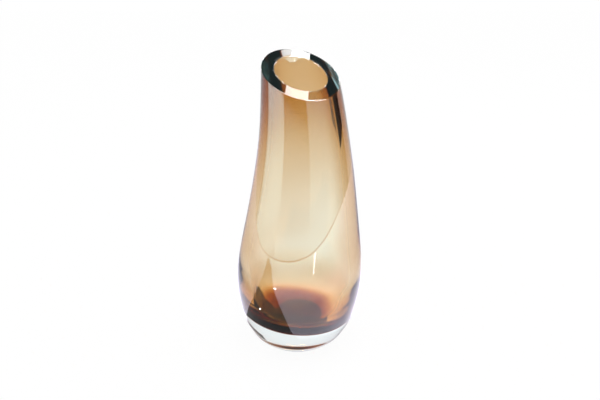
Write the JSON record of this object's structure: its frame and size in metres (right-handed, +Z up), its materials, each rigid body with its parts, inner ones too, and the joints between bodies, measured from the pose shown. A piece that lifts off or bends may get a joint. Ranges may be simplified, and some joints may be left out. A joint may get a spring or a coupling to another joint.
{
  "type": "vase",
  "caption": "Tall hand-blown glass vase with a slant-cut rim, an amber inner layer, a thick clear casing and a heavy clear base.",
  "frame": {"origin": "middle of the flat ground foot, on the surface that the vase stands on", "axes": "+Z up the vase; +Y away from the side seen first; +X to the right of that view, the side that the body's middle line swings to"},
  "size_m": [0.0993, 0.0992, 0.2298],
  "materials": {
    "clear_glass": "polished",
    "amber_glass": "polished"
  },
  "bodies": {
    "root": {"clear_casing": "clear_glass", "amber_underlay": "amber_glass"}
  },
  "joints": []
}
